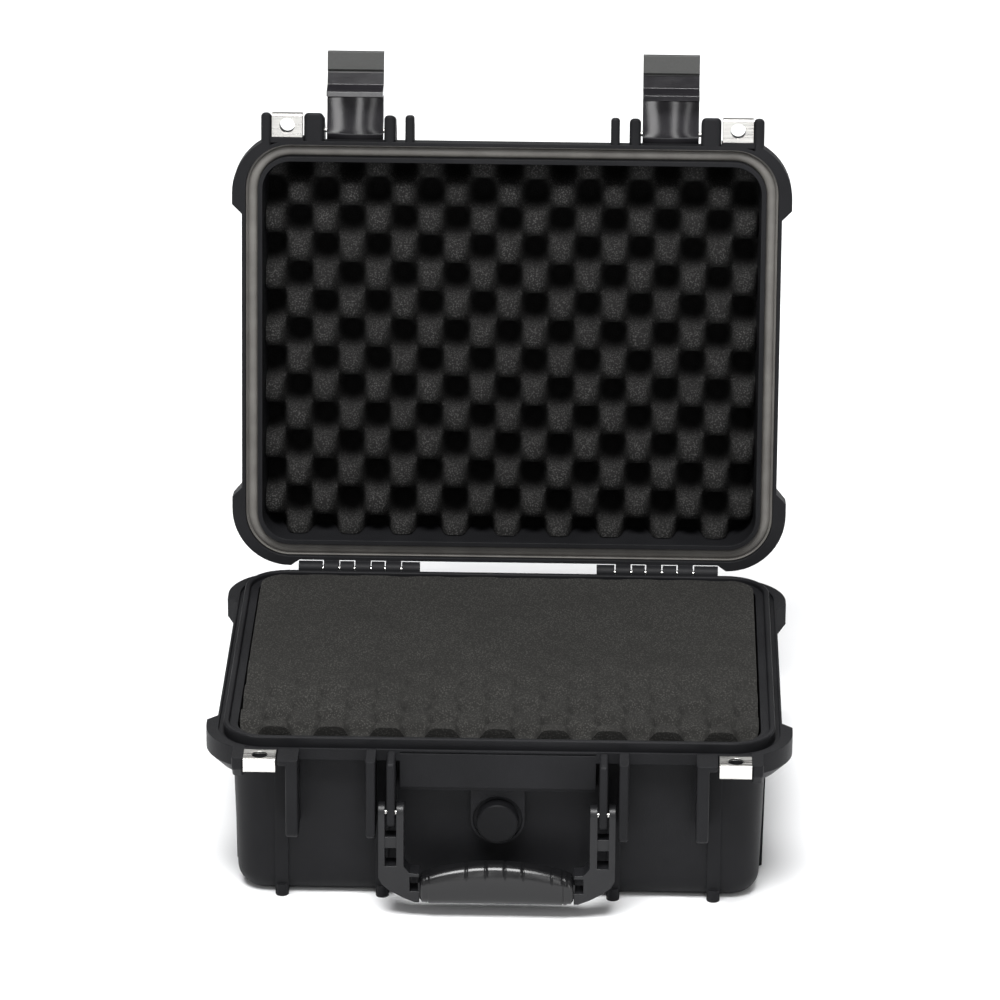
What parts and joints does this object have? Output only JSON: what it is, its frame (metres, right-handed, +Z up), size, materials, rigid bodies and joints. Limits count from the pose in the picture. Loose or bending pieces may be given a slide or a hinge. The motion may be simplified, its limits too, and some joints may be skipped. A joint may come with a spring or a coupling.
{
  "type": "hard equipment case",
  "caption": "Hinged moulded plastic equipment case with foam, a gasketed lid, two throw latches, a swinging carry handle, padlock plates and a pressure valve.",
  "frame": {"origin": "centre of the flat underside, on the ground", "axes": "+X to the right of someone facing the latches, +Y towards the hinges, +Z up"},
  "size_m": [0.342, 0.3732, 0.4161],
  "materials": {
    "case_plastic": "fine textured black moulding",
    "latch_plastic": "glossy black moulding",
    "grip_plastic": "satin black, lightly glossy",
    "steel": "folded stainless sheet",
    "pin_steel": "ground stainless",
    "gasket_rubber": "warm grey, matt",
    "seal_rubber": "black, matt",
    "foam": "open-cell foam, charcoal"
  },
  "bodies": {
    "base": {"base_shell": "case_plastic", "base_padlock_plate_left": "steel", "base_padlock_plate_right": "steel", "hinge_pin_left": "pin_steel", "hinge_pin_right": "pin_steel", "handle_pin_left": "pin_steel", "handle_pin_right": "pin_steel", "valve_body": "case_plastic", "valve_o_ring": "seal_rubber", "valve_nut": "case_plastic", "base_foam_floor": "foam", "base_foam_block": "foam", "base_foam_top": "foam"},
    "lid": {"lid_shell": "case_plastic", "lid_gasket": "gasket_rubber", "lid_foam": "foam", "lid_padlock_plate_left": "steel", "lid_padlock_plate_right": "steel", "latch_pin_left": "pin_steel", "latch_pin_right": "pin_steel"},
    "link_left": {"latch_link_left": "latch_plastic", "lever_pin_left": "pin_steel"},
    "link_right": {"latch_link_right": "latch_plastic", "lever_pin_right": "pin_steel"},
    "lever_left": {"latch_lever_left": "latch_plastic"},
    "lever_right": {"latch_lever_right": "latch_plastic"},
    "handle": {"handle_frame": "case_plastic", "handle_grip": "grip_plastic"},
    "knob": {"valve_knob": "case_plastic"}
  },
  "joints": [
    {"name": "lid_hinge", "type": "hinge", "parent": "base", "child": "lid", "pos_m": [0, 0.1366, 0.1012], "axis": [1, 0, 0], "range_deg": [0, 98]},
    {"name": "handle_swing", "type": "hinge", "parent": "base", "child": "handle", "pos_m": [0, -0.1435, 0.0649], "axis": [-1, 0, 0], "range_deg": [-4, 100]},
    {"name": "knob_turn", "type": "hinge", "parent": "base", "child": "knob", "pos_m": [0, -0.13, 0.0536], "axis": [0, -1, 0], "range_deg": [0, 340]},
    {"name": "link_left_swing", "type": "hinge", "parent": "lid", "child": "link_left", "pos_m": [-0.0963, 0.18709, 0.36989], "axis": [1, 0, 0], "range_deg": [0, 90]},
    {"name": "lever_left_throw", "type": "hinge", "parent": "link_left", "child": "lever_left", "pos_m": [-0.0963, 0.19447, 0.38652], "axis": [-1, 0, 0], "range_deg": [0, 70]},
    {"name": "link_right_swing", "type": "hinge", "parent": "lid", "child": "link_right", "pos_m": [0.0963, 0.18709, 0.36989], "axis": [1, 0, 0], "range_deg": [0, 90]},
    {"name": "lever_right_throw", "type": "hinge", "parent": "link_right", "child": "lever_right", "pos_m": [0.0963, 0.19447, 0.38652], "axis": [-1, 0, 0], "range_deg": [0, 70]}
  ]
}
